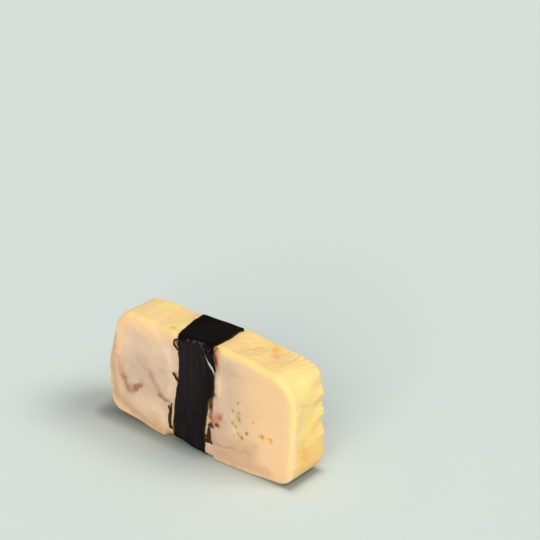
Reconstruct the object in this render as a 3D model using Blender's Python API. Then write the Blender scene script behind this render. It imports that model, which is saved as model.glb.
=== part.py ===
"""A thick slice of rolled omelette stood on its long edge, with a strip of nori wrapped round its middle.

Run it with: blender --background --python part.py
Units are metres. +X runs along the slice, +Y through its thickness and +Z up. The front cut face looks
along -Y. The origin is the middle of the foot, on the surface that the slice stands on.
"""

import math

import bpy
import numpy as np
from mathutils import Vector
from mathutils.geometry import delaunay_2d_cdt

# The slice. Its ends are counted from the plane that the strip's edges are counted from.
LEFT_END = -0.0412
RIGHT_END = 0.0398
HEIGHT = 0.0399
THICKNESS = 0.0168
TOP_SLOPE = 0.0004  # how far the top's right end is below the height
TOP_LEAN = 0.0062  # how far the upper left corner leans in
FRONT_RADIUS = 0.0020  # where the front cut face turns into the skin
FOOT_RADIUS = 0.0012  # the same along the foot
BACK_RADIUS = 0.0014  # the same on the back cut face
EDGE_TURNS = (90, 58, 27)  # degrees round these edges at which the skin has a row of points
FACE_CROWN = 0.0003  # how far the middle of a cut face stands proud
FACE_SWELL = 0.00012  # its broad unevenness
FOOT_LIFT = 0.0019  # how far the left end of the foot clears the surface
FOOT_START = -0.0170  # the foot is flat from here to its right end
SKIN_STEP = 0.0014  # spacing of the skin's points
RIDGE_STEP = 0.0005  # the same where the rolling mat has left ridges
SKIN_ROWS = 7  # rows of points across the skin, between its rounded edges
FACE_STEP = 0.0027  # spacing of a cut face's inner points

# The top's rise over the outline, as (x, rise) along its front and its back edge
FRONT_RISE = ((-0.010, 0.0), (0.006, 0.0018), (0.017, 0.0014), (0.030, 0.0))
BACK_RISE = (
    (-0.033, 0.0), (-0.0265, 0.0010), (-0.020, 0.0004), (-0.016, 0.0002), (-0.009, 0.0012),
    (0.008, 0.0017), (0.018, 0.0009), (0.026, 0.0),
)
RISE_FROM = 0.012  # the height at which the slice starts to rise

# The belly: how far the front stands forward low down, as (x, depth), and where it ends higher up
BELLY = ((-0.038, 0.0), (-0.028, 0.0003), (-0.018, 0.0011), (0.006, 0.0019), (0.015, 0.0018), (0.034, 0.0))
BELLY_TOP = 0.020

# The skin's relief
SWELL = 0.00025  # broad unevenness
WRINKLE = 0.00014  # narrow folds that run through the thickness
RIDGE = 0.00050  # the ridges pressed in by the rolling mat, on the right end and its upper corner
RIDGE_PITCH = 0.0076
RIDGE_PEAK = 0.0197  # height of one of them, halfway through the slice
RIDGE_LEAN = 0.25  # how much they rise towards the back
RIDGE_BEND = 0.5  # how much they wander, in radians of their wave
TOOTH = 0.00018  # the small teeth on the ridges, at the back
TOOTH_PITCH = 0.0020

# The air pockets that the knife has opened: x, z and radius on the front face
POCKETS = (
    (0.0175, 0.0238, 0.00045),
    (0.0153, 0.0203, 0.00050),
    (0.0178, 0.0205, 0.00042),
    (0.0178, 0.0181, 0.00065),
    (0.0150, 0.0159, 0.00045),
    (0.0167, 0.0153, 0.00055),
    (0.0213, 0.0146, 0.00065),
    (0.0238, 0.0194, 0.00040),
    (0.0179, 0.0132, 0.00045),
    (0.0193, 0.0124, 0.00060),
    (0.0275, 0.0155, 0.00060),
    (0.0311, 0.0156, 0.00070),
)
POCKET_DEPTH = 0.0006

# The nori strip, wrapped tight enough to sink into the slice
NORI_THICKNESS = 0.0004
GAP = 0.0003  # kept between the strip and the slice
SIDE_DENT = 0.0005  # how far the strip presses the faces and the top in
FOOT_DENT = 0.0008  # how far it presses the foot up, which keeps it off the surface
SHOULDER = 0.0030  # width of the slope at each side of the dent
FOOT_SHOULDER = 0.0012  # the same on the foot
SHOULDER_HEIGHT = 0.0013
DENT_MARGIN = 0.0005  # how far the dent reaches past the strip's edges
STEP_ROOM = 0.0015  # how far it reaches below a step of the right edge
LEFT_LOW_RADIUS = 0.0036  # the pressed section's lower front corner, at the strip's left edge
LOW_RADIUS = 0.0016  # the same corner further right
LOW_RADIUS_CHANGE = (-0.0075, -0.0010)  # where along the slice it changes
BACK_LOW_RADIUS = 0.0018
HIGH_RADIUS = 0.0014
BACK_HIGH_RADIUS = 0.0016
LAP_STEP = 0.0005  # how far the outer end of the strip stands over the inner one
STRIP_STEP = 0.0016  # row spacing along the strip
STRIP_COLUMNS = 5  # cells across the strip
STRIP_BENDS = 4  # cells round each corner
CORNER_ROOM = 0.0020  # what the corners take from the sides when the rows are counted
STRIP_START = 0.50  # where the strip starts on the back, as a share of the way down
STRIP_END = 8.74  # where it ends, a full turn of 8 later
TEAR = 0.00022  # roughness of its torn edges
TORN_CORNER = 0.0010  # reach of the tip at the strip's right edge, where the top meets the back

# The strip's torn edges as (z, x) up the front face and up the back face; the last ones hold on the top
LEFT_EDGE = {
    "front": (
        (0.0010, -0.0104), (0.0068, -0.0104), (0.0103, -0.0099), (0.0151, -0.0099), (0.0191, -0.0092),
        (0.0229, -0.0081), (0.0281, -0.0077), (0.0384, -0.0078), (0.0393, -0.0082),
    ),
    "back": ((0.0010, -0.0105), (0.0393, -0.0110)),
}
RIGHT_EDGE = {
    "front": (
        (0.0010, 0.0044), (0.0060, 0.0044), (0.0103, 0.0039), (0.0155, 0.0044), (0.0187, 0.0048),
        (0.0211, 0.0053), (0.0222, 0.0069), (0.0259, 0.0076), (0.0303, 0.0076), (0.0320, 0.0082),
        (0.0340, 0.0076), (0.0384, 0.0075), (0.0393, 0.0088),
    ),
    "back": ((0.0010, 0.0045), (0.0360, 0.0046), (0.0393, 0.0062)),
}

# The slivers torn from the strip's edges low on the front face, each still joined at its lower end
LEFT_SLIVER = {"z": (0.0016, 0.0126), "slit": 0.0013, "width": 0.0010}
RIGHT_SLIVER = {"z": (0.0056, 0.0124), "slit": 0.0008, "width": 0.0014}
SLIT_START = 0.00015
SLIVER_TIP = 0.0003
SLIVER_BACK = (0.003, 0.008)  # the dent's extra room for a sliver fades out this far behind the front face
SLIVER_ABOVE = (0.0005, 0.0040)  # and this far above the sliver

OMELETTE = {"color": (0.87, 0.62, 0.33), "roughness": 0.45}
NORI = {"color": (0.012, 0.014, 0.011), "roughness": 0.38}


def smoothstep(value, low, high):
    """0 below low, 1 above high, and a smooth slope between."""
    t = np.clip((value - low) / (high - low), 0, 1)
    return t * t * (3 - 2 * t)


def curve(value, points):
    """A smooth line through (place, height) points: each stretch is a smoothstep."""
    places, heights = (np.array(column) for column in zip(*points))
    low = np.clip(np.searchsorted(places, value) - 1, 0, len(places) - 2)
    share = smoothstep(value, places[low], places[low + 1])
    return heights[low] + (heights[low + 1] - heights[low]) * share


def waves(x, y, z, wavelength, seed, count=7):
    """Smooth noise from -1 to 1: the mean of a few plane waves with seeded directions and phases."""
    rng = np.random.default_rng(seed)
    total = 0
    for _ in range(count):
        direction = rng.normal(size=3)
        direction /= np.linalg.norm(direction)
        wave_number = 2 * math.pi / (wavelength * rng.uniform(0.75, 1.35))
        along = direction[0] * x + direction[1] * y + direction[2] * z
        total = total + np.sin(wave_number * along + rng.uniform(0, 2 * math.pi))
    return total / math.sqrt(count)


def outline_corners():
    """The slice's outline seen from the front, anticlockwise: each corner's x, z and radius."""
    return (
        (LEFT_END, FOOT_LIFT, 0.0060),
        (FOOT_START, 0.0, 0.0200),
        (RIGHT_END, 0.0, 0.0068),
        (RIGHT_END, HEIGHT - TOP_SLOPE, 0.0095),
        (LEFT_END + TOP_LEAN, HEIGHT + TOP_SLOPE / 2, 0.0056),
        (LEFT_END + 0.0002, 0.53 * HEIGHT, 0.0150),
    )


def rounded_polygon(corners, spacing=0.00005):
    """Points along a closed polygon whose corners are arcs of the given radii."""
    points = []
    for i, (x, z, radius) in enumerate(corners):
        here = np.array((x, z))
        before = np.array(corners[i - 1][:2]) - here
        after = np.array(corners[(i + 1) % len(corners)][:2]) - here
        before /= np.linalg.norm(before)
        after /= np.linalg.norm(after)
        half_angle = math.acos(np.clip(before @ after, -1, 1)) / 2
        bisector = (before + after) / np.linalg.norm(before + after)
        centre = here + bisector * radius / math.sin(half_angle)
        start = here + before * radius / math.tan(half_angle) - centre
        sweep = math.pi - 2 * half_angle
        turns = np.linspace(0, sweep, max(3, int(sweep * radius / spacing)))
        cosines, sines = np.cos(turns), np.sin(turns)
        arc_x = centre[0] + start[0] * cosines - start[1] * sines
        arc_z = centre[1] + start[0] * sines + start[1] * cosines
        points.append(np.column_stack([arc_x, arc_z]))
    return np.vstack(points)


def ridge_zone(points):
    """1 where the rolling mat's ridges show, on the right end and its upper corner, and 0 elsewhere."""
    x, z = points[:, 0], points[:, -1]
    return smoothstep(x, 0.016, 0.030) * smoothstep(z, 0.008, 0.018)


def skin_line():
    """(points, normals, arc length) of the outline, closer together where the skin has ridges."""
    dense = rounded_polygon(outline_corners())
    closed = np.vstack([dense, dense[:1]])
    lengths = np.r_[0, np.cumsum(np.linalg.norm(np.diff(closed, axis=0), axis=1))]

    def at(arc):
        return np.column_stack([np.interp(arc % lengths[-1], lengths, column) for column in closed.T])

    fine_step = RIDGE_STEP / 10
    even = np.arange(0, lengths[-1], fine_step)
    spacing = SKIN_STEP + (RIDGE_STEP - SKIN_STEP) * ridge_zone(at(even))
    shares = np.cumsum(fine_step / spacing)
    wanted = np.linspace(shares[0], shares[-1], int(round(shares[-1])), endpoint=False)
    arc = np.interp(wanted, shares, even)
    tangents = at(arc + RIDGE_STEP / 2) - at(arc - RIDGE_STEP / 2)
    tangents /= np.linalg.norm(tangents, axis=1)[:, None]
    return at(arc), np.column_stack([tangents[:, 1], -tangents[:, 0]]), arc


def skin_relief(x, y, z, arc):
    """Height of the skin over the plain outline: swells and wrinkles, and the ridges of the rolling mat."""
    off_the_foot = smoothstep(z, 0.0022, 0.0050)
    swell = SWELL * waves(x, 0.6 * y, z, 0.016, seed=3)
    wrinkle = WRINKLE * waves(x, 0.35 * y, z, 0.0055, seed=11)
    bend = RIDGE_BEND * waves(x, y, z, 0.009, seed=5)
    tooth = 1 - 2 * np.abs(np.sin(math.pi * arc / TOOTH_PITCH + bend))
    above_peak = z - RIDGE_LEAN * y - RIDGE_PEAK
    ridge = np.cos(2 * math.pi * above_peak / RIDGE_PITCH + RIDGE_BEND * bend)
    zone = ridge_zone(np.column_stack([x, z]))
    from_front = smoothstep(y, -THICKNESS / 2, THICKNESS / 2)
    ridges = zone * (RIDGE * ridge * from_front + TOOTH * tooth * from_front**2)
    return off_the_foot * (swell + wrinkle + ridges)


def strip_edge(edge, y, z):
    """x of an edge of the strip: its front and back lines, blended through the thickness."""
    front_x, back_x = (np.interp(z, *zip(*edge[side])) for side in ("front", "back"))
    back = np.clip(y / THICKNESS + 0.5, 0, 1)
    return front_x + (back_x - front_x) * back


def sliver_room(sliver, y, z):
    """How much wider the dent is, low on the front face, to take a sliver as well."""
    reach = sliver["slit"] + sliver["width"]
    behind, above = y + THICKNESS / 2, z - sliver["z"][1]
    return reach * (1 - smoothstep(behind, *SLIVER_BACK)) * (1 - smoothstep(above, *SLIVER_ABOVE))


def tip_room(y, z):
    """How much wider the dent is, at the back of the top, to take the tip of the strip's torn corner."""
    below = HEIGHT - z
    return TORN_CORNER * smoothstep(y, 0.001, 0.005) * (1 - smoothstep(below, 0.004, 0.007))


def section_radii(x):
    """Corner radii of the squeezed section at x: front low, back low, front high and back high."""
    front_low = LEFT_LOW_RADIUS + (LOW_RADIUS - LEFT_LOW_RADIUS) * smoothstep(x, *LOW_RADIUS_CHANGE)
    return front_low, BACK_LOW_RADIUS + 0 * x, HIGH_RADIUS + 0 * x, BACK_HIGH_RADIUS + 0 * x


def section_top(x):
    """Height of the outline's top edge at x."""
    along = (x - LEFT_END - TOP_LEAN) / (RIGHT_END - LEFT_END - TOP_LEAN)
    return HEIGHT + TOP_SLOPE / 2 - 1.5 * TOP_SLOPE * along


def section_box(x):
    """(half thickness, low z, high z) of the section that the strip squeezes the slice to."""
    return THICKNESS / 2 - SIDE_DENT, FOOT_DENT, section_top(x) - SIDE_DENT


def squeeze(points):
    """Presses the slice in under the strip, to a rounded section, with a smooth shoulder at each side."""
    x, y, z = points.T.copy()
    half, low, high = section_box(x)
    middle, half_height = (low + high) / 2, (high - low) / 2
    front_low, back_low, front_high, back_high = section_radii(x)
    low_radius = np.where(y < 0, front_low, back_low)
    high_radius = np.where(y < 0, front_high, back_high)
    radius = np.where(z < middle, low_radius, high_radius)
    dy = np.abs(y) - (half - radius)
    dz = np.abs(z - middle) - (half_height - radius)
    corner = np.hypot(np.maximum(dy, 0), np.maximum(dz, 0))
    outside = corner + np.minimum(np.maximum(dy, dz), 0) - radius
    in_corner = (dy > 0) & (dz > 0)
    ny = np.where(in_corner, dy / np.maximum(corner, 1e-9), (dy > dz).astype(float)) * np.sign(y)
    nz = np.where(in_corner, dz / np.maximum(corner, 1e-9), (dy <= dz).astype(float)) * np.sign(z - middle)
    left_reach = strip_edge(LEFT_EDGE, y, z) - DENT_MARGIN - sliver_room(LEFT_SLIVER, y, z)
    right_edge = np.maximum(strip_edge(RIGHT_EDGE, y, z), strip_edge(RIGHT_EDGE, y, z + STEP_ROOM))
    right_reach = right_edge + DENT_MARGIN + sliver_room(RIGHT_SLIVER, y, z) + tip_room(y, z)
    away = np.maximum(np.maximum(left_reach - x, x - right_reach), 0)
    shoulder = FOOT_SHOULDER + (SHOULDER - FOOT_SHOULDER) * smoothstep(z, 0.001, 0.005)
    allowed = SHOULDER_HEIGHT * smoothstep(away, 0, shoulder)
    push = np.where(away < shoulder, np.maximum(outside - allowed, 0), 0)
    return np.column_stack([x, y - ny * push, z - nz * push])


def settled(points):
    """The points with the top raised and the lower front pushed forward into a belly."""
    x, y, z = points.T
    back = np.clip(y / THICKNESS + 0.5, 0, 1)
    rise = curve(x, FRONT_RISE) * (1 - back) + curve(x, BACK_RISE) * back
    belly = curve(x, BELLY) * (1 - back) * (1 - smoothstep(z, 0, BELLY_TOP))
    return np.column_stack([x, y - belly, z + rise * smoothstep(z, RISE_FROM, HEIGHT)])


def mesh_object(name, points, faces, look):
    """An object of this name from points and faces, with a plain Principled material."""
    mesh = bpy.data.meshes.new(name)
    mesh.from_pydata([tuple(p) for p in settled(points)], [], faces)
    mesh.validate()
    mesh.shade_smooth()
    mesh.set_sharp_from_angle(angle=math.radians(50))
    obj = bpy.data.objects.new(name, mesh)
    bpy.context.scene.collection.objects.link(obj)
    material = bpy.data.materials.new(name)
    material.use_nodes = True
    shader = material.node_tree.nodes["Principled BSDF"]
    shader.inputs["Base Color"].default_value = (*look["color"], 1)
    shader.inputs["Roughness"].default_value = look["roughness"]
    mesh.materials.append(material)
    return obj


def distance_to(rim, spots):
    """How far each spot is from the nearest point of the rim."""
    return np.linalg.norm(spots[:, None] - rim[None], axis=2).min(axis=1)


def face_points(rim):
    """Points of a staggered grid inside a cut face's rim."""
    rows = np.arange(FACE_STEP / 2, HEIGHT, FACE_STEP * 0.9)
    spots = [
        (x + (FACE_STEP / 2 if i % 2 else 0), z)
        for i, z in enumerate(rows)
        for x in np.arange(LEFT_END, RIGHT_END, FACE_STEP)
    ]
    spots = np.array(spots)
    x, z = spots[:, :1], spots[:, 1:]
    ahead = np.roll(rim, -1, axis=0)
    side = (ahead[:, 0] - rim[:, 0]) * (z - rim[:, 1]) - (ahead[:, 1] - rim[:, 1]) * (x - rim[:, 0])
    rises = (rim[:, 1] <= z) & (ahead[:, 1] > z) & (side > 0)
    falls = (rim[:, 1] > z) & (ahead[:, 1] <= z) & (side < 0)
    inside = rises.sum(axis=1) != falls.sum(axis=1)
    return spots[inside & (distance_to(rim, spots) > FACE_STEP * 0.55)]


def with_pockets(spots):
    """(points, depths) of the face, with a ring and a floor in place of the points at each air pocket."""
    keep = np.ones(len(spots), bool)
    rings, floors = [], []
    for x, z, radius in POCKETS:
        keep &= np.hypot(spots[:, 0] - x, spots[:, 1] - z) > radius * 1.7
        turns = np.arange(6) * math.pi / 3
        rings.extend((x + radius * math.cos(t), z + radius * math.sin(t)) for t in turns)
        floors.append((x, z))
    points = np.vstack([spots[keep], rings, floors])
    depths = np.r_[np.zeros(keep.sum() + len(rings)), np.full(len(floors), POCKET_DEPTH)]
    return points, depths


def skin_rows(z):
    """(y, inset) of each row of the skin at these heights, from the front cut face to the back one."""
    front_radius = FOOT_RADIUS + (FRONT_RADIUS - FOOT_RADIUS) * smoothstep(z, 0.001, 0.007)
    first, last = front_radius - THICKNESS / 2, THICKNESS / 2 - BACK_RADIUS + 0 * z
    turns = np.radians(EDGE_TURNS)
    front = [(first - front_radius * math.sin(t), front_radius * (1 - math.cos(t))) for t in turns]
    back = [(last + BACK_RADIUS * math.sin(t), BACK_RADIUS * (1 - math.cos(t))) for t in reversed(turns)]
    return front + [(first + (last - first) * t, 0.0) for t in np.linspace(0, 1, SKIN_ROWS)] + back


def cut_face(rim, side):
    """(inner points, triangles) of a cut face. The triangles count the rim's points first."""
    spots = face_points(rim)
    depths = np.zeros(len(spots))
    if side < 0:
        spots, depths = with_pockets(spots)
    count = len(rim)
    loop = [(i, (i + 1) % count) for i in range(count)]
    _, _, triangles, sources, _, _ = delaunay_2d_cdt(
        [Vector(p) for p in np.vstack([rim, spots])], loop, [], 1, 1e-7
    )
    to_rim = distance_to(rim, spots)
    crown = FACE_CROWN * smoothstep(to_rim, 0, 0.009)
    unevenness = FACE_SWELL * waves(spots[:, 0], 0, spots[:, 1], 0.012, seed=21)
    y = side * (THICKNESS / 2 + (crown + unevenness) * smoothstep(to_rim, 0, 0.003) - depths)
    return np.column_stack([spots[:, 0], y, spots[:, 1]]), [[sources[v][0] for v in t] for t in triangles]


def make_slice():
    """The omelette slice: its skin is a band of quads round the outline, and a cut face fills each end."""
    line, normals, arc = skin_line()
    count = len(line)
    rings = []
    for y, inset in skin_rows(line[:, 1]):
        height = skin_relief(line[:, 0], y, line[:, 1], arc) - inset
        moved = line + normals * height[:, None]
        rings.append(np.column_stack([moved[:, 0], y, moved[:, 1]]))
    faces = []
    for j in range(len(rings) - 1):
        for i in range(count):
            k = (i + 1) % count
            faces.append((j * count + i, (j + 1) * count + i, (j + 1) * count + k, j * count + k))
    points = np.vstack(rings)
    for ring, side in ((0, -1), (len(rings) - 1, 1)):
        inner, triangles = cut_face(rings[ring][:, [0, 2]], side)
        numbers = np.r_[ring * count + np.arange(count), len(points) + np.arange(len(inner))]
        faces.extend(tuple(numbers[t][::-side]) for t in triangles)
        points = np.vstack([points, inner])
    return mesh_object("egg_slice", squeeze(points), faces, OMELETTE)


def strip_rows():
    """Places round the section as numbers: each whole number starts a straight side or a corner.

    0 is the back going down, 1 its corner, 2 the foot going forward, 3 its corner, 4 the front going up,
    5 its corner, 6 the top going back, 7 its corner, and 8 the back going down again, over the start."""
    tall = int((HEIGHT - 2 * CORNER_ROOM) / STRIP_STEP)
    wide = int((THICKNESS - 2 * CORNER_ROOM) / STRIP_STEP)
    rows = [np.linspace(STRIP_START, 1, tall // 2, endpoint=False)]
    steps = (STRIP_BENDS, wide, STRIP_BENDS, tall, STRIP_BENDS, wide, STRIP_BENDS)
    for side, count in enumerate(steps, start=1):
        rows.append(np.linspace(side, side + 1, count, endpoint=False))
    rows.append(np.linspace(8, STRIP_END, int(tall * (STRIP_END - 8))))
    return np.concatenate(rows)


def strip_surface(x, place, offset):
    """Points of the strip at these x and places, this far outside the squeezed section."""
    half, low, high = section_box(x)
    front_low, back_low, front_high, back_high = section_radii(x)
    side = np.floor(place).astype(int)
    t = place - side
    side = np.where(side == 8, 0, side)
    y, z, ny, nz = (np.zeros_like(x) for _ in range(4))
    straight = {
        0: ((half, high - back_high), (half, low + back_low), (1, 0)),
        2: ((half - back_low, low), (-half + front_low, low), (0, -1)),
        4: ((-half, low + front_low), (-half, high - front_high), (-1, 0)),
        6: ((-half + front_high, high), (half - back_high, high), (0, 1)),
    }
    for number, ((y0, z0), (y1, z1), normal) in straight.items():
        here = side == number
        y = np.where(here, y0 + (y1 - y0) * t, y)
        z = np.where(here, z0 + (z1 - z0) * t, z)
        ny, nz = np.where(here, normal[0], ny), np.where(here, normal[1], nz)
    bends = {
        1: (half - back_low, low + back_low, back_low, 0),
        3: (-half + front_low, low + front_low, front_low, -90),
        5: (-half + front_high, high - front_high, front_high, -180),
        7: (half - back_high, high - back_high, back_high, -270),
    }
    for number, (cy, cz, radius, first) in bends.items():
        here = side == number
        turn = np.radians(first - 90 * t)
        y = np.where(here, cy + radius * np.cos(turn), y)
        z = np.where(here, cz + radius * np.sin(turn), z)
        ny, nz = np.where(here, np.cos(turn), ny), np.where(here, np.sin(turn), nz)
    return np.stack([x, y + ny * offset, z + nz * offset], axis=-1)


def strip_columns(place):
    """x of every column at every row, and the rows that each sliver covers."""
    guide = strip_surface(np.full(len(place), -0.002), place, 0)
    y, z = guide[:, 1], guide[:, 2]
    rng = np.random.default_rng(8)
    left = strip_edge(LEFT_EDGE, y, z) + TEAR * rng.uniform(-1, 1, len(place))
    right = strip_edge(RIGHT_EDGE, y, z) + TEAR * rng.uniform(-1, 1, len(place))
    right += TORN_CORNER * np.exp(-(((place - 6.97) / 0.07) ** 2))
    columns = [left + (right - left) * t for t in np.linspace(0, 1, STRIP_COLUMNS + 1)]
    on_front = (place >= 4) & (place < 5)
    slivers = []
    for sliver, edge, sign in ((LEFT_SLIVER, left, -1), (RIGHT_SLIVER, right, 1)):
        low, high = sliver["z"]
        inside = on_front & (z > low) & (z < high)
        up = np.clip((z - low) / (high - low), 0, 1)
        wobble = TEAR / 2 * rng.uniform(-1, 1, len(place))
        slit = SLIT_START + sliver["slit"] * np.sin(math.pi / 2 * up) + wobble * up
        width = SLIVER_TIP + sliver["width"] * np.sin(math.pi * np.clip(0.08 + up, 0, 1)) ** 0.7
        inner = edge + sign * slit
        slivers.append((inside, inner, inner + sign * width))
    x = np.stack([slivers[0][2], slivers[0][1], *columns, slivers[1][1], slivers[1][2]], axis=1)
    return x, [sliver[0] for sliver in slivers]


def strip_cells(place, slivers):
    """Which cells between the rows and columns are nori: the strip, its slivers and where they join it."""
    cells = np.zeros((len(place) - 1, STRIP_COLUMNS + 4), bool)
    cells[:, 2 : 2 + STRIP_COLUMNS] = True
    for inside, outer, bridge in ((slivers[0], 0, 1), (slivers[1], -1, -2)):
        cells[:, outer] = inside[:-1] & inside[1:]
        cells[np.argmax(inside), bridge] = True
    return cells


def shell(cells, outer, inner):
    """A closed sheet over these cells: both surfaces, and a wall wherever a cell has no neighbour."""
    rows, columns = outer.shape[:2]
    number = np.arange(rows * columns).reshape(rows, columns)
    under = rows * columns
    padded = np.pad(cells, 1)
    faces = []
    for r, c in np.argwhere(cells):
        a, b, d, e = number[r, c], number[r, c + 1], number[r + 1, c + 1], number[r + 1, c]
        faces.append((a, b, d, e))
        faces.append((e + under, d + under, b + under, a + under))
        walls = ((a, b, r, c + 1), (b, d, r + 1, c + 2), (d, e, r + 2, c + 1), (e, a, r + 1, c))
        for first, second, row, column in walls:
            if not padded[row, column]:
                faces.append((second, first, first + under, second + under))
    used = sorted({v for face in faces for v in face})
    renumber = {v: i for i, v in enumerate(used)}
    points = np.vstack([outer.reshape(-1, 3), inner.reshape(-1, 3)])[used]
    return points, [tuple(renumber[v] for v in face) for face in faces]


def make_nori():
    """The nori strip, wrapped round the slice, with its outer end lying over its start on the back face."""
    place = strip_rows()
    x, slivers = strip_columns(place)
    places = np.repeat(place[:, None], x.shape[1], axis=1)
    lap = LAP_STEP * smoothstep(places, 8.38, 8.48)
    outer = strip_surface(x, places, GAP + NORI_THICKNESS + lap)
    inner = strip_surface(x, places, GAP + lap)
    points, faces = shell(strip_cells(place, slivers), outer, inner)
    return mesh_object("nori_band", points, faces, NORI)


def stand_on_origin(objects):
    """Moves the meshes together so that the middle of the foot is at the origin."""
    points = np.array([v.co for obj in objects for v in obj.data.vertices])
    low, high = points.min(axis=0), points.max(axis=0)
    shift = Vector((-(low[0] + high[0]) / 2, -(low[1] + high[1]) / 2, 0))
    for obj in objects:
        for vertex in obj.data.vertices:
            vertex.co += shift


def main():
    for obj in list(bpy.data.objects):
        bpy.data.objects.remove(obj)
    stand_on_origin([make_slice(), make_nori()])


main()
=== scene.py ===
"""A thick slice of rolled omelette stood on its long edge, with a torn strip of nori wrapped round it.

Shapes are worked out in millimetres: +X runs along the slice, +Y through its thickness and +Z up, and
the front cut face looks along -Y. They become metres, on the frame's own place, when a mesh is made.
"""

import math

import bpy
import numpy as np
from mathutils import Matrix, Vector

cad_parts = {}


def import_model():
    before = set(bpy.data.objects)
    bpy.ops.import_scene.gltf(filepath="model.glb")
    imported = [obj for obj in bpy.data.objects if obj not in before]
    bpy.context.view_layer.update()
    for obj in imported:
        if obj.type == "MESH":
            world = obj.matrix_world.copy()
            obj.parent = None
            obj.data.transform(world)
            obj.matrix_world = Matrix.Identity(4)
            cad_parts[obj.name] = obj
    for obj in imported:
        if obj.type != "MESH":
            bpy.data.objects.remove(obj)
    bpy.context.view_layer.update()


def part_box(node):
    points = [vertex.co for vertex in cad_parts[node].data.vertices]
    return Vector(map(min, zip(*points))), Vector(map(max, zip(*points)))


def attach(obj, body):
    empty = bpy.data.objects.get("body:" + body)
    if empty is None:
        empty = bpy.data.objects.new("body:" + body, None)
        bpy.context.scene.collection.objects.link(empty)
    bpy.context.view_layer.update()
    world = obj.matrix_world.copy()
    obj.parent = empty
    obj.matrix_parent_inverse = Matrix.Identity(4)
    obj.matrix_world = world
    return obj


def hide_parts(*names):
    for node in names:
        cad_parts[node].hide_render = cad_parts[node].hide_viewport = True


MM = 0.001

# The slice, with the same driving sizes as the model that it dresses
LEFT_END = -41.2
RIGHT_END = 39.8
HEIGHT = 39.9
THICKNESS = 16.8
TOP_SLOPE = 0.4
TOP_LEAN = 6.2
FRONT_RADIUS = 2.0
FOOT_RADIUS = 1.2
BACK_RADIUS = 1.4
FACE_CROWN = 0.30
FACE_SWELL = 0.12
FOOT_LIFT = 1.9
FOOT_START = -17.0

# The top's rise as (x, rise) along its front and its back edge, and the belly of the lower front
FRONT_RISE = ((-10, 0.0), (6, 1.8), (17, 1.4), (30, 0.0))
BACK_RISE = (
    (-33, 0.0), (-26.5, 1.0), (-20, 0.4), (-16, 0.2), (-9, 1.2), (8, 1.7), (18, 0.9), (26, 0.0),
)
RISE_FROM = 12.0
BELLY = ((-38, 0.0), (-28, 0.3), (-18, 1.1), (6, 1.9), (15, 1.8), (34, 0.0))
BELLY_TOP = 20.0

# What the scene adds to the model's rims and cut faces: a softer edge at the top left, and custard's waves
SOFT_EDGE = 1.6
RIM_UNEVENNESS = 0.15
CUSTARD = 0.045
CUSTARD_GRAIN = 0.020

# The slice's grid: the size of its cells along x, y and z
CELL_X = 0.44
CELL_Y = 0.48
CELL_Z = 0.42

# The skin's relief, coarse to fine; the mat's ridges have a pitch and the height of one of them
SWELL = 0.25
WRINKLE = 0.14
RIDGE = 0.50
RIDGE_PITCH = 7.6
RIDGE_PEAK = 19.7
RIDGE_LEAN = 0.25
RIDGE_BEND = 0.5
TOOTH = 0.18
TOOTH_PITCH = 2.0
PUCKER = 0.04
CRUMPLE = 0.09
RELIEF_REACH = 1.6

# Air pockets that the knife has opened: x, z and radius on the front face
POCKETS = (
    (17.5, 23.8, 0.45), (15.3, 20.3, 0.5), (17.8, 20.5, 0.42), (17.8, 18.1, 0.65), (15, 15.9, 0.45),
    (16.7, 15.3, 0.55), (21.3, 14.6, 0.65), (23.8, 19.4, 0.4), (17.9, 13.2, 0.45), (19.3, 12.4, 0.6),
    (27.5, 15.5, 0.6), (31.1, 15.6, 0.7),
)
POCKET_DEPTH = 0.6
SMALL_PORES = 26

# The edges of the marks wander by this much
MARK_WANDER = 0.25

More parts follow.
